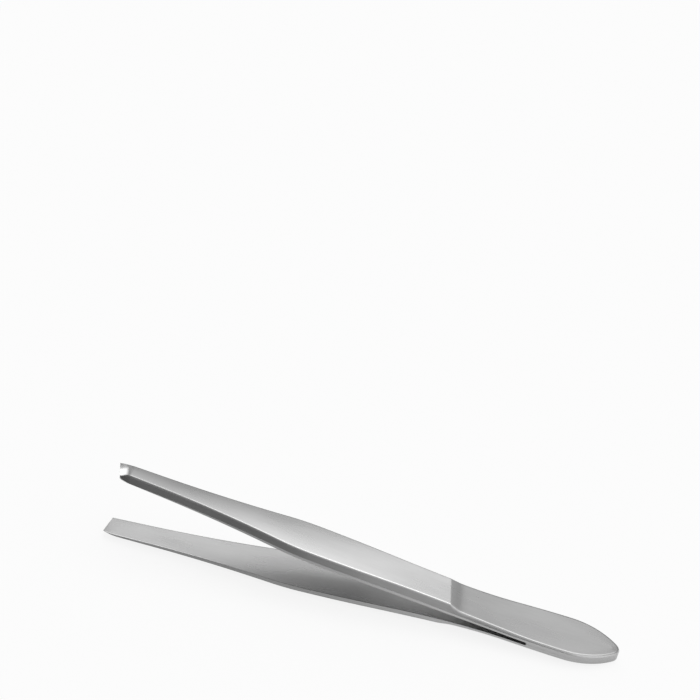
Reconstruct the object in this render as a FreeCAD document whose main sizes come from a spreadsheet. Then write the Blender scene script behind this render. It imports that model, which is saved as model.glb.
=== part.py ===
import FreeCAD, Part
import math
import os
import re

import Sketcher

# Thumb forceps lying on a table. Two identical sprung steel blades meet face to face
# at the tail, the second one turned half round about the long axis of the first.
# Each blade is modelled with its meeting face on the plane z = 0, the tail end at
# x = 0 and the tip at negative x. Then both are tipped and lifted as one, so that the
# lower blade rests on the table with its tail end and its tip.

doc = FreeCAD.newDocument("thumb_forceps")
sheet = doc.addObject("Spreadsheet::Sheet", "dims")

# Sizes in millimetres and angles in degrees. Places named "at" are measured along a
# blade from the tail end, and levels are measured from the meeting face.
sizes = [
    ("blade_length", 90.0),
    ("tail_width", 9.5),
    ("nose_length", 9.1),
    ("nose_radius", 1.46),
    ("waist_width", 8.2),
    ("waist_at", 29.2),
    ("grip_width", 9.12),
    ("grip_at", 54.6),
    ("grip_front", 5.9),
    ("neck_width", 4.76),
    ("neck_length", 7.5),
    ("tip_width", 4.3),
    ("tail_thickness", 0.98),
    ("bend_start", 13.0),
    ("shoulder_at", 29.4),
    ("shoulder_level", 1.74),
    ("ramp_length", 1.1),
    ("arm_level", 2.37),
    ("arm_bow_radius", 2400.0),
    ("tip_thickness", 0.98),
    ("tip_opening", 12.1),
    ("slot_at", 15.5),
    ("slot_gap", 0.56),
    ("bend_end", 36.0),
    ("bend_gap", 2.5),
    ("bevel_width", 0.86),
    ("bevel_depth", 1.1),
    ("tail_bevel_depth", 0.3),
    ("shoulder_skew", 7.5),
    ("tip_skew", 12.0),
    ("end_bevel_length", 2.4),
    ("end_thickness", 0.35),
    ("overrun", 2.0),
]

# Places that follow from the sizes above.
derived = [
    ("tail_side", "=tail_width / 2"),
    ("nose_curve", "=((nose_length - nose_radius) ^ 2 + tail_side ^ 2 - nose_radius ^ 2)"
                   " / 2 / (tail_side - nose_radius)"),
    ("waist_side", "=waist_width / 2"),
    ("grip_side", "=grip_width / 2"),
    ("neck_side", "=neck_width / 2"),
    ("tip_side", "=tip_width / 2"),
    ("front_at", "=grip_at + grip_front"),
    ("neck_at", "=blade_length - neck_length"),
    ("neck_run", "=neck_at - front_at"),
    ("taper", "=(neck_side - tip_side) / neck_length"),
    ("front_side", "=(neck_side / neck_run + grip_side / grip_front + taper / 2)"
                   " / (1 / neck_run + 1 / grip_front)"),
    ("blank_end", "=blade_length + overrun"),
    ("cut_end_side", "=tip_side - 2 * overrun * taper"),
    ("cut_end", "=blade_length + 2 * overrun"),
    ("inner_slope", "=(tip_opening - bend_gap) / 2 / (blade_length - bend_end)"),
    ("blank_end_level", "=tip_opening / 2 + overrun * inner_slope"),
    ("bar_level", "=tail_thickness + bevel_depth - tail_bevel_depth"),
    ("arm_start", "=shoulder_at + ramp_length"),
    ("tip_level", "=tip_opening / 2 + tip_thickness"),
    ("end_bevel_at", "=blade_length - end_bevel_length"),
    ("nose_bevel", "=bevel_width * tail_bevel_depth / bevel_depth"),
    ("rest_angle", "=atan((tip_level - tail_thickness) / (end_bevel_at - nose_bevel)) / 1deg"),
    ("longest", "=blade_length + tip_width / 2 * tan(tip_skew * 1deg)"),
    ("lift", "=tail_thickness * cos(rest_angle * 1deg) - nose_bevel * sin(rest_angle * 1deg)"),
    ("centring", "=(longest * cos(rest_angle * 1deg)"
                 " + (tip_opening / 2 - tail_thickness) * sin(rest_angle * 1deg)) / 2"),
]

for row, (name, value) in enumerate(sizes + derived, 1):
    sheet.set("A%d" % row, name)
    sheet.set("B%d" % row, str(value))
    sheet.setAlias("B%d" % row, name)
doc.recompute()


names = [name for name, value in sizes + derived]


def size(name):
    """Give the number in the named cell."""
    return float(sheet.get(name))


def cells(expression):
    """Point each name in an expression to its cell of the sheet."""
    return re.sub("[a-z_]+", lambda word: "dims." * (word[0] in names) + word[0], expression)


def newSketch(body, name, role):
    plane = [plane for plane in body.Origin.OriginFeatures if plane.Role == role][0]
    sketch = body.newObject("Sketcher::SketchObject", name)
    sketch.AttachmentSupport = [(plane, "")]
    sketch.MapMode = "FlatFace"
    return sketch


class Edge:
    """One line or curve of a sketch, with the numbers of its start and end points."""

    def __init__(self, sketch, curve, start):
        self.sketch = sketch
        self.index = sketch.addGeometry(curve)
        runsForward = (sketch.getPoint(self.index, 1) - start).Length < 1e-6
        self.start, self.end = (1, 2) if runsForward else (2, 1)

    def bind(self, kind, arguments, expression):
        """Add a constraint whose value follows an expression of the sheet."""
        number = self.sketch.addConstraint(Sketcher.Constraint(kind, *arguments))
        self.sketch.setExpression("Constraints[%d]" % number, cells(expression))

    def pin(self, point, across=None, along=None):
        """Hold a point at the place that two expressions give."""
        place = self.sketch.getPoint(self.index, point)
        for kind, axis, value, expression in (("DistanceX", -2, place.x, across),
                                              ("DistanceY", -1, place.y, along)):
            if expression == "0":
                self.sketch.addConstraint(
                    Sketcher.Constraint("PointOnObject", self.index, point, axis))
            elif expression:
                self.bind(kind, (-1, 1, self.index, point, value), expression)

    def join(self, following, kind="Coincident"):
        """Tie the end of this edge to the start of the following one."""
        self.sketch.addConstraint(
            Sketcher.Constraint(kind, self.index, self.end, following.index, following.start))


def vector(point):
    return FreeCAD.Vector(point[0], point[1], 0)


def line(sketch, start, end):
    return Edge(sketch, Part.LineSegment(vector(start), vector(end)), vector(start))


def arc(sketch, start, end, bulge):
    """Draw an arc that stands off its chord by the bulge, to the left when positive."""
    chord = vector(end) - vector(start)
    left = FreeCAD.Vector(-chord.y, chord.x, 0).normalize()
    middle = (vector(start) + vector(end)) * 0.5 + left * bulge
    return Edge(sketch, Part.Arc(vector(start), middle, vector(end)), vector(start))


def closedPath(edges, smooth=()):
    """Join edges into a loop, tangent after those whose places in the list are given."""
    for place, edge in enumerate(edges):
        kind = "Tangent" if place in smooth else "Coincident"
        edge.join(edges[(place + 1) % len(edges)], kind)


def addBarProfile(body):
    """Draw the side view of a blade as thick as its arm all along."""
    sketch = newSketch(body, "BarProfile", "XZ_Plane")
    over, bar, arm = size("overrun"), size("bar_level"), size("arm_level")
    tip, end = size("tip_level"), size("blank_end")
    armStart, bevelAt = -size("arm_start"), -size("end_bevel_at")
    slotAt, slotSide = -size("slot_at"), size("slot_gap") / 2
    bendEnd, bendSide = -size("bend_end"), size("bend_gap") / 2
    bow = (bevelAt - armStart) ** 2 / 8 / size("arm_bow_radius")
    tailEnd = line(sketch, (over, 0), (over, bar))
    tailTop = line(sketch, (over, bar), (armStart / 2, bar))
    rise = arc(sketch, (armStart / 2, bar), (armStart, arm), (arm - bar) / 4)
    armTop = arc(sketch, (armStart, arm), (bevelAt, tip), -bow)
    tipTop = line(sketch, (bevelAt, tip), (-end, tip))
    barEnd = line(sketch, (-end, tip), (-end, size("blank_end_level")))
    inner = line(sketch, (-end, size("blank_end_level")), (bendEnd, bendSide))
    spring = arc(sketch, (bendEnd, bendSide), (slotAt, slotSide), (slotSide - bendSide) / 6)
    slotEnd = line(sketch, (slotAt, slotSide), (slotAt, 0))
    meeting = line(sketch, (slotAt, 0), (over, 0))
    closedPath([tailEnd, tailTop, rise, armTop, tipTop, barEnd, inner, spring, slotEnd, meeting],
               smooth=(1, 2, 3, 6))
    meeting.pin(meeting.end, "overrun", "0")
    tailEnd.pin(tailEnd.end, "overrun", "bar_level")
    sketch.addConstraint(Sketcher.Constraint("Horizontal", tailTop.index))
    armTop.pin(armTop.start, "-arm_start", "arm_level")
    armTop.pin(armTop.end, "-end_bevel_at", "tip_level")
    armTop.bind("Radius", (armTop.index, size("arm_bow_radius")), "arm_bow_radius")
    barEnd.pin(barEnd.start, "-blank_end")
    inner.pin(inner.start, "-blank_end", "blank_end_level")
    inner.pin(inner.end, "-bend_end", "bend_gap / 2")
    spring.pin(spring.end, "-slot_at", "slot_gap / 2")
    sketch.addConstraint(Sketcher.Constraint("Vertical", slotEnd.index))
    sketch.addConstraint(Sketcher.Constraint("Horizontal", meeting.index))
    return sketch


def addFlank(sketch, side):
    """Draw one side of the plan view from the rounded tail end to past the tip."""
    sign = "" if side > 0 else "-"
    noseAt, noseSide = -size("nose_length"), side * size("tail_side")
    noseRound = FreeCAD.Vector(-size("nose_radius"), 0, 0)
    sideRound = FreeCAD.Vector(noseAt, noseSide - side * size("nose_curve"), 0)
    touch = noseRound + (noseRound - sideRound).normalize() * size("nose_radius")
    noseEnd = vector((noseAt, noseSide))
    outward = (touch + noseEnd - sideRound * 2).normalize()
    nose = Edge(sketch, Part.Arc(touch, sideRound + outward * size("nose_curve"), noseEnd), touch)
    nose.pin(3, "-nose_length")
    nose.pin(nose.end, "-nose_length", sign + "tail_side")
    edges = [nose]
    places = [("nose_length", "tail_side"), ("waist_at", "waist_side"), ("grip_at", "grip_side")]
    for (first, firstSide), (second, secondSide) in zip(places, places[1:]):
        start = (-size(first), side * size(firstSide))
        end = (-size(second), side * size(secondSide))
        half = ((start[0] + end[0]) / 2, (start[1] + end[1]) / 2)
        bulge = (start[1] - end[1]) / 8
        leave = arc(sketch, start, half, -bulge)
        arrive = arc(sketch, half, end, bulge)
        leave.pin(3, "-" + first)
        leave.pin(leave.end, "-(%s + %s) / 2" % (first, second),
                  "%s(%s + %s) / 2" % (sign, firstSide, secondSide))
        arrive.pin(3, "-" + second)
        arrive.pin(arrive.end, "-" + second, sign + secondSide)
        edges += [leave, arrive]
    gripAt, gripSide = -size("grip_at"), side * size("grip_side")
    frontAt, frontSide = -size("front_at"), side * size("front_side")
    neckAt, neckSide = -size("neck_at"), side * size("neck_side")
    fall = frontSide - gripSide
    front = arc(sketch, (gripAt, gripSide), (frontAt, frontSide), fall / 4)
    neck = arc(sketch, (frontAt, frontSide), (neckAt, neckSide), -(neckSide - frontSide) / 8)
    flank = line(sketch, (neckAt, neckSide), (-size("cut_end"), side * size("cut_end_side")))
    front.pin(3, "-grip_at")
    front.pin(front.end, "-front_at", sign + "front_side")
    neck.pin(neck.end, "-neck_at", sign + "neck_side")
    flank.pin(flank.end, "-cut_end", sign + "cut_end_side")
    edges += [front, neck, flank]
    for edge, following in zip(edges, edges[1:]):
        edge.join(following, "Tangent" if edge is front else "Coincident")
    return edges


def addOutline(body):
    """Draw the plan view of a blade inside a frame, so that the band between is cut away."""
    sketch = newSketch(body, "Outline", "XY_Plane")
    far, near = addFlank(sketch, 1), addFlank(sketch, -1)
    low, high = [sketch.getPoint(side[0].index, side[0].start) for side in (near, far)]
    nose = Edge(sketch, Part.Arc(low, FreeCAD.Vector(0, 0, 0), high), low)
    nose.pin(3, "-nose_radius", "0")
    nose.bind("Radius", (nose.index, size("nose_radius")), "nose_radius")
    for point, side in ((nose.end, far[0]), (nose.start, near[0])):
        sketch.addConstraint(Sketcher.Constraint("Tangent", nose.index, point, side.index, side.start))
    tipEnd = line(sketch, (-size("cut_end"), size("cut_end_side")),
                  (-size("cut_end"), -size("cut_end_side")))
    for point, side in ((tipEnd.start, far[-1]), (tipEnd.end, near[-1])):
        sketch.addConstraint(
            Sketcher.Constraint("Coincident", tipEnd.index, point, side.index, side.end))
    left, right, edge = -size("cut_end") - size("overrun"), size("overrun"), size("tail_width")
    corners = [(left, -edge), (right, -edge), (right, edge), (left, edge)]
    frame = [line(sketch, start, end) for start, end in zip(corners, corners[1:] + corners[:1])]
    closedPath(frame)
    across = ["-cut_end - overrun", "overrun", "overrun", "-cut_end - overrun"]
    along = ["-tail_width", "-tail_width", "tail_width", "tail_width"]
    for side, x, y in zip(frame, across, along):
        side.pin(side.start, x, y)
    return sketch


def addTailProfile(body):
    """Draw the side view of what is ground off the tail's outer face, with the shoulder."""
    sketch = newSketch(body, "TailProfile", "XZ_Plane")
    over, thickness, top = size("overrun"), size("tail_thickness"), size("tip_level")
    bendStart, shoulderAt = -size("bend_start"), -size("shoulder_at")
    shoulder = size("shoulder_level")
    rampEnd = (shoulderAt - 2 * size("ramp_length"), 2 * size("arm_level") - shoulder)
    flat = line(sketch, (over, thickness), (bendStart, thickness))
    bend = arc(sketch, (bendStart, thickness), (shoulderAt, shoulder), (shoulder - thickness) / 4)
    ramp = line(sketch, (shoulderAt, shoulder), rampEnd)
    up = line(sketch, rampEnd, (rampEnd[0], top))
    across = line(sketch, (rampEnd[0], top), (over, top))
    down = line(sketch, (over, top), (over, thickness))
    closedPath([flat, bend, ramp, up, across, down], smooth=(0,))
    flat.pin(flat.start, "overrun", "tail_thickness")
    flat.pin(flat.end, "-bend_start", "tail_thickness")
    ramp.pin(ramp.start, "-shoulder_at", "shoulder_level")
    ramp.pin(ramp.end, "-shoulder_at - 2 * ramp_length", "2 * arm_level - shoulder_level")
    sketch.addConstraint(Sketcher.Constraint("Vertical", up.index))
    sketch.addConstraint(Sketcher.Constraint("Vertical", down.index))
    across.pin(across.end, None, "tip_level")
    sketch.addConstraint(Sketcher.Constraint("Horizontal", across.index))
    return sketch


def addTipProfile(body):
    """Draw the side view of what is cut off past the tip and for the slope of its outer face."""
    sketch = newSketch(body, "TipProfile", "XZ_Plane")
    bevelAt, end, level = -size("end_bevel_at"), -size("blade_length"), size("tip_level")
    noseLevel = size("tip_opening") / 2 + size("end_thickness")
    past, over = -size("cut_end"), level + size("overrun")
    places = [(bevelAt, level), (end, noseLevel), (end, 0), (past, 0), (past, over), (bevelAt, over)]
    path = [line(sketch, start, stop) for start, stop in zip(places, places[1:] + places[:1])]
    closedPath(path)
    across = ["-end_bevel_at", "-blade_length", "-blade_length"]
    across += ["-cut_end", "-cut_end", "-end_bevel_at"]
    along = ["tip_level", "tip_opening / 2 + end_thickness", "0", "0"]
    along += ["tip_level + overrun", "tip_level + overrun"]
    for side, x, y in zip(path, across, along):
        side.pin(side.start, x, y)
    return sketch


def outerRim(shape):
    """Name the edges where the outer face of a blade meets its sides."""
    rim = []
    for number, edge in enumerate(shape.Edges, 1):
        faces = shape.ancestorsOfType(edge, Part.Face)
        leans = sorted(face.normalAt(*middleOf(face)).z for face in faces)
        beyond = edge.CenterOfMass.x < -size("blank_end") + size("overrun") / 2
        if abs(leans[0]) < 0.1 and leans[1] > 0.9 and not beyond:
            rim.append("Edge%d" % number)
    return rim


def middleOf(face):
    low, high, left, right = face.ParameterRange
    return (low + high) / 2, (left + right) / 2


def addCut(body, name, sketch, skew=None):
    """Cut a profile through a body, along a direction turned by the skew angle."""
    before = body.Shape.Volume
    cut = body.newObject("PartDesign::Pocket", name)
    cut.Profile = sketch
    cut.SideType = "Symmetric"
    cut.Type = "Length"
    cut.setExpression("Length", cells("6 * tail_width"))
    if skew:
        cut.UseCustomVector = True
        cut.Direction = FreeCAD.Vector(math.sin(math.radians(size(skew))),
                                       -math.cos(math.radians(size(skew))), 0)
        cut.setExpression("Direction.x", cells("sin(%s * 1deg)" % skew))
        cut.setExpression("Direction.y", cells("-cos(%s * 1deg)" % skew))
    doc.recompute()
    if not body.Shape.Volume < before - 0.01:
        raise RuntimeError("%s cuts nothing" % name)
    return cut


def buildBlade(name, turned):
    """Build one blade. The turned one is rolled half round about the long axis."""
    body = doc.addObject("PartDesign::Body", name)
    body.Label = name
    bar = body.newObject("PartDesign::Pad", "Bar")
    bar.Profile = addBarProfile(body)
    bar.SideType = "Symmetric"
    bar.setExpression("Length", cells("2 * tail_width"))
    doc.recompute()
    trim = addCut(body, "Trim", addOutline(body))
    rim = outerRim(trim.Shape)
    bevel = body.newObject("PartDesign::Chamfer", "SideBevel")
    bevel.Base = (trim, rim)
    bevel.ChamferType = "Two distances"
    rimEdge = trim.Shape.getElement(rim[0])
    firstFace = trim.Shape.ancestorsOfType(rimEdge, Part.Face)[0]
    bevel.FlipDirection = firstFace.normalAt(*middleOf(firstFace)).z < 0.5
    bevel.setExpression("Size", cells("bevel_width"))
    bevel.setExpression("Size2", cells("bevel_depth"))
    doc.recompute()
    addCut(body, "TailFace", addTailProfile(body), "shoulder_skew")
    addCut(body, "TipEnd", addTipProfile(body), "tip_skew")
    roll = " * rotation(vector(1; 0; 0); 180)" if turned else ""
    body.setExpression("Placement", cells(
        "placement(vector(centring; 0; lift); rotation(vector(0; 1; 0); rest_angle)%s)" % roll))
    doc.recompute()
    return body


blades = [buildBlade("upper_blade", False), buildBlade("lower_blade", True)]

for item in doc.Objects:
    if "Invalid" in item.State or "Error" in item.State:
        raise RuntimeError("%s did not build: %s" % (item.Name, item.State))
os.makedirs("parts", exist_ok=True)
for blade in blades:
    if blade.Shape.isNull() or not blade.Shape.isValid() or len(blade.Shape.Solids) != 1:
        raise RuntimeError("%s is not one sound solid" % blade.Label)
    blade.Shape.exportStep("parts/%s.step" % blade.Label)
    print(blade.Label, round(blade.Shape.Volume, 2), blade.Shape.BoundBox)
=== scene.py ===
import math

import bmesh
import bpy
from mathutils import Matrix, Vector


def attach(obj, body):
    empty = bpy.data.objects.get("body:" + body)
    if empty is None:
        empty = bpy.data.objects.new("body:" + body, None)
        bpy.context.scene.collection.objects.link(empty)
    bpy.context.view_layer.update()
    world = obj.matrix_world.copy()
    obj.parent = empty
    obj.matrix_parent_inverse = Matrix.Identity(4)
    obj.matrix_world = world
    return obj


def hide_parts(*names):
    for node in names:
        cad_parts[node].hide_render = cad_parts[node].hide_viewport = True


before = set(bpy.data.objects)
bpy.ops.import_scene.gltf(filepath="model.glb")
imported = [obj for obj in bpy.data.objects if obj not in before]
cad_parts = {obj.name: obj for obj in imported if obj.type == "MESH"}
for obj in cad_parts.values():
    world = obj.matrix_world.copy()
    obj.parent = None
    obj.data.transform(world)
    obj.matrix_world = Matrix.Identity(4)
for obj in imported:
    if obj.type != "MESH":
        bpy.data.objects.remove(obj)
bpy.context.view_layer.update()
scene = bpy.context.scene
scene.view_settings.view_transform = "Standard"
print("frame loaded:", ", ".join(sorted(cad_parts)))


def addNode(tree, kind, settings=None, inputs=None):
    # inputs are either sockets to link or values to set
    node = tree.nodes.new(kind)
    for name, value in (settings or {}).items():
        setattr(node, name, value)
    for name, value in (inputs or {}).items():
        if isinstance(value, bpy.types.NodeSocket):
            tree.links.new(value, node.inputs[name])
        else:
            node.inputs[name].default_value = value
    return node


def hexColour(text, alpha=1.0):
    # sRGB hex to the linear values that sockets take
    channels = [int(text[i:i + 2], 16) / 255 for i in (1, 3, 5)]
    linear = [c / 12.92 if c <= 0.04045 else ((c + 0.055) / 1.055) ** 2.4 for c in channels]
    return (*linear, alpha)


def newMaterial(name):
    material = bpy.data.materials.new(name)
    material.use_nodes = True
    material.node_tree.nodes.clear()
    return material, material.node_tree


# the photograph's own view, worked out from the outlines of the blades

view = {
    "azimuth": 7.0,            # degrees, 0 looks along +Y
    "elevation": 34.445,
    "roll": 9.673,
    "focalPixels": 2500.0,     # of a picture 700 pixels wide
    "lookAt": (0.0, 0.0, 3.0), # mm, seen at lookPixel
    "lookPixel": (361.1, 579.9),
    "pixelsPerMm": 5.859,      # at lookAt
    "pictureSize": 700.0,
}


def placeCamera():
    az, el, roll = (math.radians(view[k]) for k in ("azimuth", "elevation", "roll"))
    back = Vector((math.sin(az) * math.cos(el), -math.cos(az) * math.cos(el), math.sin(el)))
    level = Vector((math.cos(az), math.sin(az), 0))
    upright = back.cross(level)
    right = level * math.cos(roll) + upright * math.sin(roll)
    up = upright * math.cos(roll) - level * math.sin(roll)
    distance = view["focalPixels"] / view["pixelsPerMm"]
    half = view["pictureSize"] / 2
    across = (view["lookPixel"][0] - half) / view["focalPixels"] * distance
    above = (half - view["lookPixel"][1]) / view["focalPixels"] * distance
    place = Vector(view["lookAt"]) - right * across - up * above + back * distance
    data = bpy.data.cameras.new("camera")
    data.sensor_width = 36.0
    data.lens = view["focalPixels"] / view["pictureSize"] * data.sensor_width
    data.clip_start, data.clip_end = 0.01, 20
    camera = bpy.data.objects.new("camera", data)
    turn = Matrix((right, up, back)).transposed().to_4x4()
    camera.matrix_world = Matrix.Translation(place * 0.001) @ turn
    scene.collection.objects.link(camera)
    scene.camera = camera


placeCamera()
print("camera placed")


# one form makes both blades, in mm, with the tail end at x = 0 and the tip at negative x;
# "at" and "along" run from the tail end towards the tip

blade = {
    # outline
    "length": 90.0,
    "tailWidth": 9.5,
    "noseLength": 9.1,
    "noseRadius": 1.9,
    "waistWidth": 8.2,
    "waistAt": 29.2,
    "gripWidth": 9.12,
    "gripAt": 54.6,
    "gripFront": 5.9,
    "neckWidth": 4.76,
    "neckLength": 7.5,
    "tipWidth": 4.3,
    "shoulderSkew": 7.5,      # degrees
    "tipSkew": 12.0,
    "shoulderTurn": (16.0, 25.0),  # the mesh lines turn from square to each skew over these
    "tipTurn": (50.0, 80.0),
    "cornerLength": 1.9,      # the tip's corners are rounded this far back and this deep
    "cornerDepth": 0.5,
    # outer face, as levels above the plane between the blades
    "tail": 0.98,
    "bendStart": 13.0,
    "shoulderAt": 28.3,
    "shoulder": 1.655,
    "rampLength": 1.8,
    "arm": 2.37,
    "armBowRadius": 2400.0,
    "tipThickness": 0.98,
    "tipSink": 0.03,          # the arm ends this much lower than a straight one
    "endBevelLength": 2.4,
    "endFaceLength": 1.4,
    "endThickness": 0.2,
    "endHollow": 0.25,        # towards the far side, where a grinding belt rolls over
    "hollowFrom": 0.4,
    "crown": 0.02,
    "crownRun": 50.0,         # the crown grows over this much of the arm
    # inner face
    "tipOpening": 12.1,
    "slotAt": 15.5,
    "slotGap": 0.56,
    "slotEndRound": 0.06,
    "bendEnd": 36.0,
    "bendGap": 2.5,
    # bevelled sides
    "bevelWidth": 0.86,
    "bevelDepth": 1.1,
    "tailBevelDepth": 0.3,
    # how far one face blends into the next
    "rimSoftness": 0.36,
    "tailRimSoftness": 0.5,
    "creaseSoftness": 0.03,
    "rampSoftness": 0.45,
    "endSoftness": 0.45,
    # mesh
    "stationStep": 0.6,
    "creaseGaps": (0.04, 0.1, 0.2, 0.35),  # extra stations on both sides of each crease
    "endStep": 0.12,
    "endSteps": 18,
    "leastStation": 0.03,
    "insetStep": 0.06,        # columns this far apart draw the softened rim
    "insetEnd": 1.2,
    "coreColumns": 7,
    "edgeRound": 0.025,
    "supportGap": 0.02,
    "fitShare": 0.9998,       # a hair shorter than the solid, whose round end has flats
}

tipLevel = blade["tipOpening"] / 2 + blade["tipThickness"]
endBevelAt = blade["length"] - blade["endBevelLength"]
armStart = blade["shoulderAt"] + blade["rampLength"]


def easeStep(value, low, high):
    t = min(max((value - low) / (high - low), 0.0), 1.0)
    return t * t * (3 - 2 * t)


def arcThrough(start, slope, end):
    # height of the circle that leaves start at that slope and passes through end
    length = math.hypot(1, slope)
    normal = Vector((-slope / length, 1 / length))
    chord = Vector(end) - Vector(start)
    radius = chord.length_squared / (2 * chord.dot(normal))
    centre = Vector(start) + normal * radius
    side = -1 if radius > 0 else 1
    return lambda at: centre.y + side * math.sqrt(max(radius ** 2 - (at - centre.x) ** 2, 0))


def makeHalfWidth():
    tail, waist, grip = blade["tailWidth"] / 2, blade["waistWidth"] / 2, blade["gripWidth"] / 2
    neck, tip = blade["neckWidth"] / 2, blade["tipWidth"] / 2
    nose, noseLength = blade["noseRadius"], blade["noseLength"]
    curve = ((noseLength - nose) ** 2 + tail ** 2 - nose ** 2) / 2 / (tail - nose)
    touch = nose - nose * (noseLength - nose) / (curve - nose)
    neckAt = blade["length"] - blade["neckLength"]
    frontAt = blade["gripAt"] + blade["gripFront"]
    run, taper = neckAt - frontAt, (neck - tip) / blade["neckLength"]
    front = (neck / run + grip / blade["gripFront"] + taper / 2) / (1 / run + 1 / blade["gripFront"])
    fall = math.tan(2 * math.atan((grip - front) / blade["gripFront"]))
    frontArc = arcThrough((blade["gripAt"], grip), 0.0, (frontAt, front))
    neckArc = arcThrough((frontAt, front), -fall, (neckAt, neck))

    def halfWidth(at):
        if at < touch:
            return math.sqrt(max(nose ** 2 - (at - nose) ** 2, 0))
        if at < noseLength:
            return tail - curve + math.sqrt(curve ** 2 - (at - noseLength) ** 2)
        if at < blade["gripAt"]:
            ends = ((noseLength, tail), (blade["waistAt"], waist))
            if at > blade["waistAt"]:
                ends = (ends[1], (blade["gripAt"], grip))
            (low, first), (high, last) = ends
            t = (at - low) / (high - low)
            swell = 2 * t * t if t < 0.5 else 1 - 2 * (1 - t) ** 2
            return first + (last - first) * swell
        if at < frontAt:
            return frontArc(at)
        if at < neckAt:
            return neckArc(at)
        return neck - taper * (at - neckAt)

    return halfWidth, touch


halfWidth, noseTouch = makeHalfWidth()


def inward(at):
    # unit vector from the far edge towards the middle, as (along, across)
    if at < 1e-6:
        return Vector((1.0, 0.0))
    step = min(0.01, at / 2)
    slope = (halfWidth(at + step) - halfWidth(at - step)) / (2 * step)
    return Vector((slope, -1.0)).normalized()


def tipEnd(tip):
    # both tips reach equally far with their longer corner
    lean = math.tan(math.radians(blade["tipSkew"])) - math.tan(math.radians(tip["skew"]))
    return blade["length"] + blade["tipWidth"] / 2 * lean


def slant(at, tip):
    # tangent of the angle at which the mesh lines cross the blade
    atShoulder, atTip = (math.tan(math.radians(a)) for a in (blade["shoulderSkew"], tip["skew"]))
    return (atShoulder * easeStep(at, *blade["shoulderTurn"])
            + (atTip - atShoulder) * easeStep(at, *blade["tipTurn"]))


def stationList(end):
    stations = [blade["noseRadius"] * (1 - math.cos(math.radians(a))) for a in range(0, 50, 6)]
    stations = [s for s in stations if s < noseTouch * 0.9]
    at = noseTouch
    while at < end - 0.3:
        stations.append(at)
        at += min(blade["stationStep"], 0.12 + at * 0.06)
    keep = [blade["slotAt"] + side * blade["slotEndRound"] for side in (-1, 0, 1)]
    for crease in (blade["shoulderAt"], armStart, endBevelAt):
        keep += [crease] + [crease + side * gap for gap in blade["creaseGaps"] for side in (-1, 1)]
    keep += [end - gap for gap in (0.0, 0.02, 0.06)]
    keep += [end - blade["endStep"] * (i + 1) for i in range(blade["endSteps"])]
    stations = [s for s in stations if all(abs(s - k) > blade["leastStation"] for k in keep)]
    return sorted(stations + keep)


def sectionColumns():
    # (side, inset, foot, rise): side 1 is far and -1 near, 0 < side < 1 is a place in the core
    count = round(blade["insetEnd"] / blade["insetStep"])
    insets = [blade["insetStep"] * i for i in range(count + 1)]
    core = [("core", (i + 1) / (blade["coreColumns"] + 1)) for i in range(blade["coreColumns"])]
    corner, gap = blade["edgeRound"], blade["supportGap"]
    wall = [(0, 0, -2 * gap), (0, 1, corner + gap), (0, 1, corner),
            (corner * 0.29, 1, corner * 0.29)]
    floor = [corner, 0.2, 0.6, blade["insetEnd"]]
    ring = [(1, inset, 0, 0.0) for inset in insets]
    ring += [(share, blade["insetEnd"], 0, 0.0) for share in core]
    ring += [(-1, inset, 0, 0.0) for inset in reversed(insets)]
    ring += [(-1, *row) for row in wall] + [(-1, inset, 1, 0.0) for inset in floor]
    ring += [((name, 1 - share), blade["insetEnd"], 1, 0.0) for name, share in core]
    ring += [(1, inset, 1, 0.0) for inset in reversed(floor)]
    ring += [(1, *row) for row in reversed(wall)]
    return ring


def cornerCut(at, side, tip):
    share = min(max((at - tipEnd(tip)) / blade["cornerLength"] + 1, 0.0), 1.0)
    return blade["cornerDepth"] * (1 - math.sqrt(1 - share ** 2)) if side == tip["roundSide"] else 0.0


def planPoint(at, side, inset, tip):
    # x and y of a place that far in from the far (1) or near (-1) edge
    if at < blade["noseLength"]:
        toMiddle = inward(at)
        return -(at + toMiddle.x * inset), side * (halfWidth(at) + toMiddle.y * inset)
    edge = at
    for _ in range(8):
        toMiddle = inward(edge)
        width = halfWidth(edge) + toMiddle.y * inset - cornerCut(at, side, tip)
        edge = at + side * width * slant(at, tip) - toMiddle.x * inset
    return -(edge + toMiddle.x * inset), side * width


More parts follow.
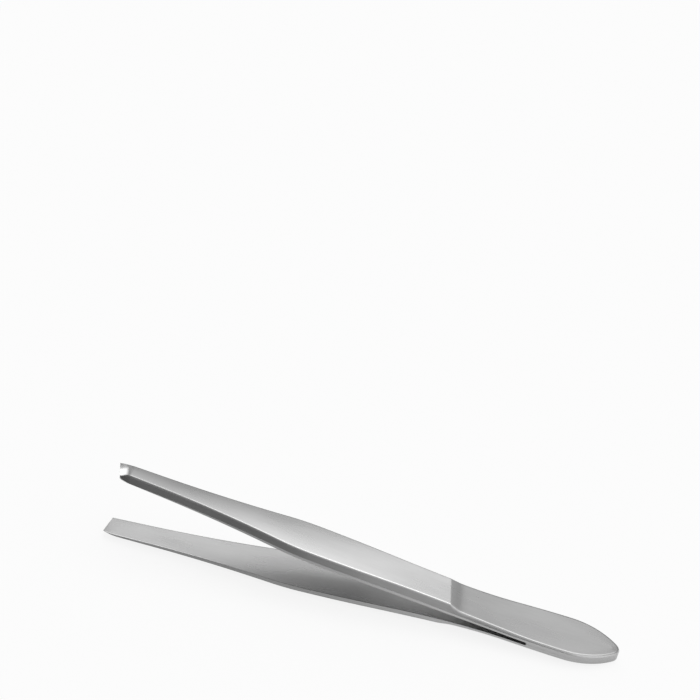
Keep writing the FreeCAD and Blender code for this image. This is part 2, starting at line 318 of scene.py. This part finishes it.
def bladeBlank(tip):
    # flat mesh: every point knows how far in it lies and whether it belongs to the inner face
    mesh = bmesh.new()
    inset = mesh.verts.layers.float.new("inset")
    foot = mesh.verts.layers.float.new("foot")
    rise = mesh.verts.layers.float.new("rise")
    opened = mesh.verts.layers.float.new("opened")
    lengthwise = mesh.loops.layers.uv.new("lengthwise")
    columns = sectionColumns()
    rings = []
    for at in stationList(tipEnd(tip)):
        found, ring = {}, []
        for side, inFrom, isFoot, lift in columns:
            if isinstance(side, tuple):
                far, near = planPoint(at, 1, inFrom, tip), planPoint(at, -1, inFrom, tip)
                share = side[1]
                place = [a + (b - a) * share for a, b in zip(far, near)]
            else:
                place = planPoint(at, side, inFrom, tip)
            key = (round(place[0], 6), round(place[1], 6), isFoot, lift, inFrom)
            if key not in found:
                vert = mesh.verts.new((place[0], place[1], 0))
                vert[inset], vert[foot], vert[rise] = inFrom, isFoot, lift
                vert[opened] = easeStep(at, blade["slotAt"] - blade["slotEndRound"] * 0.9,
                                        blade["slotAt"] + blade["slotEndRound"] * 0.9)
                found[key] = vert
            ring.append(found[key])
        rings.append(ring)
    count = len(columns)
    for ring, following in zip(rings, rings[1:]):
        for i in range(count):
            j = (i + 1) % count
            corners = {}
            for vert, column in ((ring[i], i), (ring[j], i + 1), (following[j], i + 1), (following[i], i)):
                corners.setdefault(vert, column)
            if len(corners) > 2:
                face = mesh.faces.new(corners)
                face.smooth = True
                for loop in face.loops:
                    loop[lengthwise].uv = (-loop.vert.co.x * 0.01, corners[loop.vert] * 0.01)
    cap = mesh.faces.new(rings[-1])
    for edge in cap.edges:
        edge.smooth = False
    data = bpy.data.meshes.new("bladeBlank")
    mesh.to_mesh(data)
    mesh.free()
    return data


armRun = endBevelAt - armStart
armEndLevel = tipLevel - blade["tipSink"]
armSlope = (armEndLevel - blade["arm"]) / armRun
armBow = 0.5 / blade["armBowRadius"]
barLevel = blade["tail"] + blade["bevelDepth"] - blade["tailBevelDepth"]
firstSlope = armSlope + armRun * armBow
innerSlope = (blade["tipOpening"] - blade["bendGap"]) / 2 / (blade["length"] - blade["bendEnd"])
springRun = blade["bendEnd"] - blade["slotAt"]
springDrop = blade["bendGap"] / 2 - springRun * innerSlope

# sizes that go to the modifier as its inputs
ruleInputs = {
    "Tail level": blade["tail"],
    "Bend start": blade["bendStart"],
    "Bend curve": (blade["shoulder"] - blade["tail"])
    / (blade["shoulderAt"] - blade["bendStart"]) ** 2,
    "Shoulder at": blade["shoulderAt"],
    "Shoulder level": blade["shoulder"],
    "Ramp slope": (blade["arm"] - blade["shoulder"]) / blade["rampLength"],
    "Shoulder slant": math.tan(math.radians(blade["shoulderSkew"])),
    "Bar level": barLevel,
    "Rise start": armStart - 2 * (blade["arm"] - barLevel) / firstSlope,
    "Rise curve": firstSlope ** 2 / 4 / (blade["arm"] - barLevel),
    "Arm start": armStart,
    "Arm slope": armSlope,
    "Arm bow": armBow,
    "End bevel at": endBevelAt,
    "End face at": blade["length"] - blade["endFaceLength"],
    "End face level": armEndLevel,
    "End slope": (blade["tipOpening"] / 2 + blade["endThickness"] - armEndLevel)
    / blade["endFaceLength"],
    "Tip slant": math.tan(math.radians(blade["tipSkew"])),
    "Bevel depth": blade["bevelDepth"],
    "Bevel slope": blade["bevelDepth"] / blade["bevelWidth"],
    "Inner at": blade["bendEnd"],
    "Inner level": blade["bendGap"] / 2,
    "Inner slope": innerSlope,
    "Spring curve": (blade["slotGap"] / 2 - springDrop) / springRun ** 2,
    "Rim softness": blade["rimSoftness"],
    "Tail rim extra": blade["tailRimSoftness"] - blade["rimSoftness"],
    "Crease softness": blade["creaseSoftness"],
    "Ramp softness": blade["rampSoftness"],
    "End softness": blade["endSoftness"],
    "End hollow": blade["endHollow"],
    "Crown": blade["crown"],
    "Crown growth": 1 / blade["crownRun"],
    "Hollow from": blade["hollowFrom"],
    "Least side": blade["edgeRound"] + 1.3 * blade["supportGap"],
    # how fast each face's share of the painted light and shade tones and of the rougher side finish
    # changes, for each mm
    "Tail share growth": 1.6,
    "Bevel share growth": 12.0,
    "Wall share growth": 60.0,
    "End share growth": 3.0,
    "End share start": 0.35,
    "Rim share growth": -3.0,
    "Rim share start": -0.2,
}

# each row is a name, an operation and what it works on: an earlier name, an input or a number
heightRule = [
    ("along", "MULTIPLY", "x", -1.0),
    # inner face: straight arm, bent spring, closed tail
    ("pastBend", "SUBTRACT", "along", "Inner at"),
    ("innerLine", "MULTIPLY_ADD", "pastBend", "Inner slope", "Inner level"),
    ("beforeBend", "MINIMUM", "pastBend", 0.0),
    ("springSquare", "MULTIPLY", "beforeBend", "beforeBend"),
    ("innerOpen", "MULTIPLY_ADD", "springSquare", "Spring curve", "innerLine"),
    ("inner", "MULTIPLY", "innerOpen", "opened"),
    # bar: as thick as the arm, flat over the tail
    ("beforeArm", "MINIMUM", "along", "Arm start"),
    ("riseRun", "SUBTRACT", "beforeArm", "Rise start"),
    ("riseOn", "MAXIMUM", "riseRun", 0.0),
    ("riseSquare", "MULTIPLY", "riseOn", "riseOn"),
    ("rise1", "MULTIPLY_ADD", "riseSquare", "Rise curve", "Bar level"),
    ("beforeEnd", "MINIMUM", "along", "End bevel at"),
    ("onArm", "MAXIMUM", "beforeEnd", "Arm start"),
    ("armOn", "SUBTRACT", "onArm", "Arm start"),
    ("armLeft", "SUBTRACT", "End bevel at", "onArm"),
    ("bowed", "MULTIPLY", "armOn", "armLeft"),
    ("bowRise", "MULTIPLY", "bowed", "Arm bow"),
    ("armRise", "MULTIPLY_ADD", "armOn", "Arm slope", "bowRise"),
    ("bar", "ADD", "rise1", "armRise"),
    # tail face and its shoulder, ground askew
    ("tailShift", "MULTIPLY", "y", "Shoulder slant"),
    ("tailAlong", "SUBTRACT", "along", "tailShift"),
    ("tailRun", "SUBTRACT", "tailAlong", "Bend start"),
    ("tailOn", "MAXIMUM", "tailRun", 0.0),
    ("tailSquare", "MULTIPLY", "tailOn", "tailOn"),
    ("tailFace", "MULTIPLY_ADD", "tailSquare", "Bend curve", "Tail level"),
    ("rampOn", "SUBTRACT", "tailAlong", "Shoulder at"),
    ("ramp", "MULTIPLY_ADD", "rampOn", "Ramp slope", "Shoulder level"),
    ("tailTop", "SMOOTH_MAX", "tailFace", "ramp", "Ramp softness"),
    # a slight crown that the polishing leaves on the slim part of the arm
    ("crownStart", "SUBTRACT", "along", "Inner at"),
    ("crownPart", "MULTIPLY", "crownStart", "Crown growth"),
    ("crownShare", "MAXIMUM", "crownPart", 0.0),
    ("crownLimited", "MINIMUM", "crownShare", 1.0),
    ("crownSize", "MULTIPLY", "crownLimited", "Crown"),
    ("acrossSquare", "MULTIPLY", "y", "y"),
    ("crownDrop", "MULTIPLY", "acrossSquare", "crownSize"),
    ("armTop", "SUBTRACT", "bar", "crownDrop"),
    ("outer", "SMOOTH_MIN", "armTop", "tailTop", "Crease softness"),
    # slope at the tip's end, also askew
    ("tipShift", "MULTIPLY", "y", "Tip slant"),
    ("tipAlong", "SUBTRACT", "along", "tipShift"),
    ("endOn", "SUBTRACT", "tipAlong", "End face at"),
    ("endFlat", "MULTIPLY_ADD", "endOn", "End slope", "End face level"),
    ("farPart", "SUBTRACT", "y", "Hollow from"),
    ("farOn", "MAXIMUM", "farPart", 0.0),
    ("farSquare", "MULTIPLY", "farOn", "farOn"),
    ("endFace", "MULTIPLY_ADD", "farSquare", "End hollow", "endFlat"),
    ("outerTip", "SMOOTH_MIN", "outer", "endFace", "End softness"),
    # share of the tail: none on the arm, rising down the ramp; it widens the rim there and sets the tail's
    # darker tone, which is painted shade
    ("belowArm", "SUBTRACT", "armTop", "tailTop"),
    ("tailPart", "MULTIPLY", "belowArm", "Tail share growth"),
    ("tailOver", "MAXIMUM", "tailPart", 0.0),
    ("tailShare", "MINIMUM", "tailOver", 1.0),
    # side bevel, which meets the outer face in a softened rim, wider on the tail
    ("land", "SUBTRACT", "bar", "Bevel depth"),
    ("sideBevel", "MULTIPLY_ADD", "inset", "Bevel slope", "land"),
    ("rimSoft", "MULTIPLY_ADD", "tailShare", "Tail rim extra", "Rim softness"),
    ("rim", "SMOOTH_MIN", "outerTip", "sideBevel", "rimSoft"),
    ("roofRaw", "ADD", "rim", "rise"),
    ("leastRoof", "ADD", "inner", "Least side"),
    ("roof", "MAXIMUM", "roofRaw", "leastRoof"),
    # foot points keep to the inner face
    ("footLevel", "ADD", "inner", "rise"),
    ("step", "SUBTRACT", "footLevel", "roof"),
    ("height", "MULTIPLY_ADD", "step", "foot", "roof"),
    # what the material needs: the depth below the outer face, for the grain, and which face this is, for
    # the painted light and shade tones and the rougher sides
    ("depth", "SUBTRACT", "height", "outer"),
    ("onRoof", "SUBTRACT", 1.0, "foot"),
    ("belowOuter", "SUBTRACT", "outerTip", "sideBevel"),
    ("bevelPart", "MULTIPLY", "belowOuter", "Bevel share growth"),
    ("bevelOver", "MAXIMUM", "bevelPart", 0.0),
    ("bevelShare", "MINIMUM", "bevelOver", 1.0),
    ("riseSize", "ABSOLUTE", "rise"),
    ("wallPart", "MULTIPLY", "riseSize", "Wall share growth"),
    ("wall", "MINIMUM", "wallPart", 1.0),
    ("sideStep", "SUBTRACT", "wall", "bevelShare"),
    ("side", "MULTIPLY_ADD", "sideStep", "foot", "bevelShare"),
    ("tail", "MULTIPLY", "tailShare", "onRoof"),
    ("insideShare", "SUBTRACT", "foot", "side"),
    ("inside", "MAXIMUM", "insideShare", 0.0),
    # the end mark: where the painted highlight lies on the tip's end bevel, kept off its rims
    ("belowTip", "SUBTRACT", "outer", "endFace"),
    ("endPart", "MULTIPLY_ADD", "belowTip", "End share growth", "End share start"),
    ("fromRim", "MULTIPLY_ADD", "belowOuter", "Rim share growth", "Rim share start"),
    ("endInner", "MINIMUM", "endPart", "fromRim"),
    ("endOver", "MAXIMUM", "endInner", 0.0),
    ("endShare", "MINIMUM", "endOver", 1.0),
    ("end", "MULTIPLY", "endShare", "onRoof"),
]
# each mark says which face a point is on; they carry the painted light and shade tones, and the side mark
# also the sides' roughness
paintedLightAndFinishMarks = ("side", "wall", "tail", "inside", "end")


def bladeRule():
    tree = bpy.data.node_groups.new("bladeHeights", "GeometryNodeTree")
    tree.interface.new_socket("Geometry", in_out="INPUT", socket_type="NodeSocketGeometry")
    for name in ruleInputs:
        tree.interface.new_socket(name, in_out="INPUT", socket_type="NodeSocketFloat")
    tree.interface.new_socket("Steel", in_out="INPUT", socket_type="NodeSocketMaterial")
    tree.interface.new_socket("Geometry", in_out="OUTPUT", socket_type="NodeSocketGeometry")
    given = addNode(tree, "NodeGroupInput")
    place = addNode(tree, "GeometryNodeInputPosition")
    parts = addNode(tree, "ShaderNodeSeparateXYZ", None, {0: place.outputs[0]})
    made = {name: given.outputs[name] for name in ruleInputs}
    made.update(x=parts.outputs[0], y=parts.outputs[1])
    for name in ("inset", "foot", "rise", "opened"):
        made[name] = addNode(tree, "GeometryNodeInputNamedAttribute", {"data_type": "FLOAT"},
                             {"Name": name}).outputs["Attribute"]
    for name, operation, *values in heightRule:
        inputs = {i: made.get(value, value) for i, value in enumerate(values)}
        made[name] = addNode(tree, "ShaderNodeMath", {"operation": operation}, inputs).outputs[0]
    moved = addNode(tree, "ShaderNodeCombineXYZ", None, {0: made["x"], 1: made["y"], 2: made["height"]})
    shaped = addNode(tree, "GeometryNodeSetPosition", None,
                     {"Geometry": given.outputs["Geometry"], "Position": moved.outputs[0]})
    for name in paintedLightAndFinishMarks:
        shaped = addNode(tree, "GeometryNodeStoreNamedAttribute", {"data_type": "FLOAT"},
                         {"Geometry": shaped.outputs[0], "Name": name, "Value": made[name]})
    grainPlace = addNode(tree, "ShaderNodeCombineXYZ", None,
                         {0: made["x"], 1: made["y"], 2: made["depth"]})
    shaped = addNode(tree, "GeometryNodeStoreNamedAttribute", {"data_type": "FLOAT_VECTOR"},
                     {"Geometry": shaped.outputs[0], "Name": "grainPlace",
                      "Value": grainPlace.outputs[0]})
    real = addNode(tree, "GeometryNodeRealizeInstances", None, {"Geometry": shaped.outputs[0]})
    dressed = addNode(tree, "GeometryNodeSetMaterial", None,
                      {"Geometry": real.outputs[0], "Material": given.outputs["Steel"]})
    addNode(tree, "NodeGroupOutput", None, {"Geometry": dressed.outputs[0]})
    return tree


def shapeBlade(tree, material, tip):
    blank = bpy.data.objects.new("bladeBlank", bladeBlank(tip))
    scene.collection.objects.link(blank)
    inputs = dict(ruleInputs)
    inputs["End face at"] = tipEnd(tip) - blade["endFaceLength"]
    inputs["Tip slant"] = math.tan(math.radians(tip["skew"]))
    inputs["Steel"] = material
    modifier = blank.modifiers.new("heights", "NODES")
    modifier.node_group = tree
    for item in tree.interface.items_tree:
        if item.in_out == "INPUT" and item.name in inputs:
            modifier[item.identifier] = inputs[item.name]
    bpy.context.view_layer.update()
    shaped = bpy.data.meshes.new_from_object(
        blank.evaluated_get(bpy.context.evaluated_depsgraph_get()))
    blank.modifiers.clear()
    bpy.data.objects.remove(blank)
    tidy = bmesh.new()
    tidy.from_mesh(shaped)
    bmesh.ops.recalc_face_normals(tidy, faces=tidy.faces)
    if tidy.calc_volume(signed=True) < 0:
        bmesh.ops.reverse_faces(tidy, faces=tidy.faces)
    print("blade: %d faces, %.1f cubic mm" % (len(tidy.faces), tidy.calc_volume()))
    tidy.to_mesh(shaped)
    tidy.free()
    return shaped


def restPlace(turned):
    # the blades lie on the tail end and the tip of the lower one
    noseBevel = blade["bevelWidth"] * blade["tailBevelDepth"] / blade["bevelDepth"]
    angle = math.atan((tipLevel - blade["tail"]) / (endBevelAt - noseBevel))
    longest = blade["length"] + blade["tipWidth"] / 2 * math.tan(math.radians(blade["tipSkew"]))
    lift = blade["tail"] * math.cos(angle) - noseBevel * math.sin(angle)
    centring = (longest * math.cos(angle)
                + (blade["tipOpening"] / 2 - blade["tail"]) * math.sin(angle)) / 2
    place = Matrix.Scale(0.001, 4) @ Matrix.Scale(blade["fitShare"], 4, (1, 0, 0))
    place = place @ Matrix.Translation((centring, 0, lift))
    place = place @ Matrix.Rotation(angle, 4, "Y")
    return place @ Matrix.Rotation(math.pi, 4, "X") if turned else place


steelLook = {
    "outer": "#C2C2C2",
    # darker tone of the tail face: painted shade
    "tail": "#A3A3A3",
    # darker tone towards the tip of the outer face: painted shade
    "tip": "#989898",
    # near-white tone of the tip's end bevel: a painted highlight
    "end": "#F0F0F0",
    "side": "#DCDCDC",      # bevels, lighter than the faces: painted light
    # bevels darker towards the tip: painted shade
    "tipSide": "#B4B4B4",
    "wall": "#BEBEBE",      # what is left of the upright edges
    # walls darker towards the tip: painted shade
    "tipWallShade": "#9C9C9C",
    # inner face lighter near the slot, where the other blade shades it: painted light
    "spring": "#E0E0E0",
    # inner faces a little darker than the outer face: painted shade
    "inside": "#B3B3B3",
    # inner face lighter towards the tip: painted light
    "tipInside": "#CBCBCB",
    "clouding": 0.10,       # share by which the tone wanders
    "grainTone": 0.07,
    "rough": 0.28,
    "roughChange": 0.08,
    "sideRough": 0.10,      # added on the sides, which a coarser belt ground
    "rubbedRough": -0.06,   # and on the rims, which cloths and trays have rubbed
    "anisotropic": 0.6,     # the grain spreads light across the blade
    "bumpStrength": 0.25,
    "grainMm": 0.16,        # real scratches are about 0.02 mm apart, drawn coarser to show
    "grainLengthMm": 6.0,
    "grainDepthMm": 0.002,
    "cloudMm": 6.0,
    "cloudLengthMm": 18.0,
    # where along a blade one tone turns into the next, as x in mm: painted shade towards the tip, painted
    # light on the inner face near the tip and the slot
    "tipTone": (-48.0, -80.0),
    "tipSideTone": (-30.0, -68.0),
    "tipInsideTone": (-52.0, -76.0),
    "springTone": (-46.0, -30.0),
    "noiseRange": (0.25, 0.75),     # what the noise gives, nearly always
    "rubbedEdge": (0.5, 0.57),      # pointiness from flat to a rubbed rim
}


def satinSteel():
    # stainless steel ground lengthwise on a fine belt and left satin: broad, dim reflections
    # with a faint grain along the blade, duller on the sides, a little smoother on rubbed rims;
    # the tones that differ by face and along the blade are painted light and shade
    material, tree = newMaterial("satinStainlessSteel")
    made = {name: addNode(tree, "ShaderNodeAttribute", {"attribute_name": name}).outputs["Fac"]
            for name in paintedLightAndFinishMarks}
    grainPlace = addNode(tree, "ShaderNodeAttribute", {"attribute_name": "grainPlace"})
    placeParts = addNode(tree, "ShaderNodeSeparateXYZ", None, {0: grainPlace.outputs["Vector"]})
    made["x"] = placeParts.outputs[0]
    made["edge"] = addNode(tree, "ShaderNodeNewGeometry").outputs["Pointiness"]
    for name, across, length, detail in (("grain", "grainMm", "grainLengthMm", 4.0),
                                         ("cloud", "cloudMm", "cloudLengthMm", 3.0)):
        mapped = addNode(tree, "ShaderNodeMapping", None, {
            "Vector": grainPlace.outputs["Vector"],
            "Scale": (1 / steelLook[length], 1 / steelLook[across], 1 / steelLook[across])})
        made[name] = addNode(tree, "ShaderNodeTexNoise", None, {
            "Vector": mapped.outputs[0], "Scale": 1.0, "Detail": detail}).outputs[0]
    ranges = (
        # name, what it follows, its range there, low and high here
        ("tipShadeShare", "x", steelLook["tipTone"], 0.0, 1.0),
        ("tipSideShadeShare", "x", steelLook["tipSideTone"], 0.0, 1.0),
        ("tipInsideLightShare", "x", steelLook["tipInsideTone"], 0.0, 1.0),
        ("springLightShare", "x", steelLook["springTone"], 0.0, 1.0),
        ("cloudTone", "cloud", steelLook["noiseRange"], 1 - steelLook["clouding"], 1.0),
        ("grainTone", "grain", steelLook["noiseRange"], 1 - steelLook["grainTone"], 1.0),
        ("cloudRough", "cloud", steelLook["noiseRange"], steelLook["rough"] - steelLook["roughChange"] / 2,
         steelLook["rough"] + steelLook["roughChange"] / 2),
        ("sideRough", "side", (0.0, 1.0), 0.0, steelLook["sideRough"]),
        ("rubbedRough", "edge", steelLook["rubbedEdge"], 0.0, steelLook["rubbedRough"]),
    )
    for name, follows, (fromLow, fromHigh), low, high in ranges:
        made[name] = addNode(tree, "ShaderNodeMapRange", None, {
            "Value": made[follows], "From Min": fromLow, "From Max": fromHigh,
            "To Min": low, "To Max": high}).outputs[0]
    tones = (
        # name, share of the second, first and second colour
        # painted shade: the outer face darker towards the tip
        ("top", "tipShadeShare", hexColour(steelLook["outer"]), hexColour(steelLook["tip"])),
        # painted shade: the tail face darker than the arm
        ("topTail", "tail", "top", hexColour(steelLook["tail"])),
        # painted highlight on the tip's end bevel
        ("topEnd", "end", "topTail", hexColour(steelLook["end"])),
        # bevels: painted light, and painted shade towards the tip
        ("sides", "tipSideShadeShare", hexColour(steelLook["side"]), hexColour(steelLook["tipSide"])),
        # walls: painted shade towards the tip
        ("walls", "tipSideShadeShare", hexColour(steelLook["wall"]), hexColour(steelLook["tipWallShade"])),
        # inner faces: painted shade, with painted light towards the tip
        ("armInside", "tipInsideLightShare", hexColour(steelLook["inside"]), hexColour(steelLook["tipInside"])),
        # painted light on the inner face near the slot
        ("insides", "springLightShare", "armInside", hexColour(steelLook["spring"])),
        ("topSides", "side", "topEnd", "sides"),
        ("allOuter", "wall", "topSides", "walls"),
        ("all", "inside", "allOuter", "insides"),
    )
    for name, share, *colours in tones:
        first, second = (made[c] if isinstance(c, str) else c for c in colours)
        made[name] = addNode(tree, "ShaderNodeMix", {"data_type": "RGBA"}, {
            0: made[share], 6: first, 7: second}).outputs[2]
    tone = addNode(tree, "ShaderNodeMath", {"operation": "MULTIPLY"}, {
        0: made["cloudTone"], 1: made["grainTone"]})
    toned = addNode(tree, "ShaderNodeVectorMath", {"operation": "SCALE"}, {
        0: made["all"], "Scale": tone.outputs[0]})
    rough = made["cloudRough"]
    for extra in ("sideRough", "rubbedRough"):
        rough = addNode(tree, "ShaderNodeMath", {"operation": "ADD"}, {
            0: rough, 1: made[extra]}).outputs[0]
    bump = addNode(tree, "ShaderNodeBump", None, {
        "Strength": steelLook["bumpStrength"], "Distance": steelLook["grainDepthMm"] * 0.001,
        "Height": made["grain"]})
    grainWay = addNode(tree, "ShaderNodeTangent", {
        "direction_type": "UV_MAP", "uv_map": "lengthwise"})
    steel = addNode(tree, "ShaderNodeBsdfPrincipled", None, {
        "Base Color": toned.outputs[0], "Metallic": 1.0, "Roughness": rough,
        "Anisotropic": steelLook["anisotropic"], "Anisotropic Rotation": 0.25,
        "Tangent": grainWay.outputs[0], "Normal": bump.outputs[0]})
    addNode(tree, "ShaderNodeOutputMaterial", None, {"Surface": steel.outputs[0]})
    return material


# the tips were ground by hand: each has its own skew, and the corner on one side is rounder
tips = {
    "upperBlade": {"node": "upper_blade", "turned": False, "skew": 16.0, "roundSide": -1},
    "lowerBlade": {"node": "lower_blade", "turned": True, "skew": 8.0, "roundSide": 1},
}
steel = satinSteel()
rule = bladeRule()
for name, tip in tips.items():
    mesh = shapeBlade(rule, steel, tip)
    mesh.name = name
    mesh.transform(restPlace(tip["turned"]))
    piece = bpy.data.objects.new(name, mesh)
    scene.collection.objects.link(piece)
    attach(piece, "root")
    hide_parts(tip["node"])
print("blades made")


studio = {
    "floor": "#F9F9F9",
    "floorSide": 3.0,
    "low": 0.22,            # brightness of the studio at the horizon
    "high": 1.06,           # and overhead
    "leftShare": 0.8,
    "rightShare": 1.55,
    "sideReach": 0.6,       # share of the way to the left and right where these are reached
    "darkWay": (-0.42, -0.74, 0.52),  # the unlit side of the room, behind the camera
    "darkShare": 0.22,
    "darkFrom": 58.0,       # degrees from darkWay at which the dark begins
    "darkFull": 26.0,
    "paperWhite": 0.86,     # share of the floor's white that no shadow dims
    "contactMm": 16.0,
    "boxes": (
        # direction, degrees at which its light begins and is full, strength
        ((0.06, 0.42, 0.90), 26.0, 8.0, 2.5),     # above and behind
        ((-0.54, 0.79, 0.30), 22.0, 8.0, 2.4),    # behind the tips
    ),
}


def paleFloor():
    # matt white paper: plain, with only the soft shadow of the blades on it
    material, tree = newMaterial("mattWhitePaper")
    fibre = addNode(tree, "ShaderNodeTexNoise", None, {"Scale": 900.0, "Detail": 2.0})
    bump = addNode(tree, "ShaderNodeBump", None, {
        "Strength": 0.1, "Distance": 0.00005, "Height": fibre.outputs[0]})
    paper = addNode(tree, "ShaderNodeBsdfPrincipled", None, {
        "Base Color": hexColour(studio["floor"]), "Roughness": 0.95,
        "Specular IOR Level": 0.1, "Normal": bump.outputs[0]})
    white = addNode(tree, "ShaderNodeEmission", None, {"Color": (1, 1, 1, 1), "Strength": 1.0})
    path = addNode(tree, "ShaderNodeLightPath")
    mirrored = addNode(tree, "ShaderNodeMath", {"operation": "MAXIMUM"}, {
        0: path.outputs["Is Glossy Ray"], 1: path.outputs["Is Transmission Ray"]})
    # the floor just under a blade stays as dark in the steel as it is
    opened = addNode(tree, "ShaderNodeAmbientOcclusion", {"samples": 8},
                    {"Distance": studio["contactMm"] * 0.001})
    openMirrored = addNode(tree, "ShaderNodeMath", {"operation": "MULTIPLY"}, {
        0: mirrored.outputs[0], 1: opened.outputs["AO"]})
    seen = addNode(tree, "ShaderNodeMath", {"operation": "MAXIMUM"}, {
        0: path.outputs["Is Camera Ray"], 1: openMirrored.outputs[0]})
    share = addNode(tree, "ShaderNodeMath", {"operation": "MULTIPLY"},
                    {0: seen.outputs[0], 1: studio["paperWhite"]})
    mixed = addNode(tree, "ShaderNodeMixShader", None, {
        0: share.outputs[0], 1: paper.outputs[0], 2: white.outputs[0]})
    addNode(tree, "ShaderNodeOutputMaterial", None, {"Surface": mixed.outputs[0]})
    return material


def makeFloor():
    side = studio["floorSide"]
    data = bpy.data.meshes.new("floor")
    corners = [(-side, -side, 0), (side, -side, 0), (side, side, 0), (-side, side, 0)]
    data.from_pydata(corners, [], [(0, 1, 2, 3)])
    data.materials.append(paleFloor())
    floor = bpy.data.objects.new("floor", data)
    scene.collection.objects.link(floor)


def lightStudio():
    # one large soft tent: brighter overhead and to the right, unlit behind the camera
    world = bpy.data.worlds.new("studioTent")
    scene.world = world
    world.use_nodes = True
    tree = world.node_tree
    tree.nodes.clear()
    where = addNode(tree, "ShaderNodeTexCoord").outputs["Generated"]
    parts = addNode(tree, "ShaderNodeSeparateXYZ", None, {0: where})
    height = addNode(tree, "ShaderNodeMapRange", None, {
        "Value": parts.outputs[2], "To Min": studio["low"], "To Max": studio["high"]})
    across = addNode(tree, "ShaderNodeMapRange", None, {
        "Value": parts.outputs[0], "From Min": -studio["sideReach"], "From Max": studio["sideReach"],
        "To Min": studio["leftShare"], "To Max": studio["rightShare"]})
    level = addNode(tree, "ShaderNodeMath", {"operation": "MULTIPLY"}, {
        0: height.outputs[0], 1: across.outputs[0]}).outputs[0]
    patches = [("MULTIPLY", studio["darkWay"], studio["darkFrom"], studio["darkFull"],
                1.0, studio["darkShare"])]
    patches += [("ADD", way, begins, full, 0.0, strength)
                for way, begins, full, strength in studio["boxes"]]
    for operation, way, begins, full, around, within in patches:
        near = addNode(tree, "ShaderNodeVectorMath", {"operation": "DOT_PRODUCT"}, {
            0: where, 1: Vector(way).normalized()})
        patch = addNode(tree, "ShaderNodeMapRange", {"interpolation_type": "SMOOTHSTEP"}, {
            "Value": near.outputs["Value"], "From Min": math.cos(math.radians(begins)),
            "From Max": math.cos(math.radians(full)), "To Min": around, "To Max": within})
        level = addNode(tree, "ShaderNodeMath", {"operation": operation}, {
            0: level, 1: patch.outputs[0]}).outputs[0]
    sky = addNode(tree, "ShaderNodeBackground", None, {"Strength": level})
    addNode(tree, "ShaderNodeOutputWorld", None, {"Surface": sky.outputs[0]})


makeFloor()
lightStudio()
print("floor and light set")
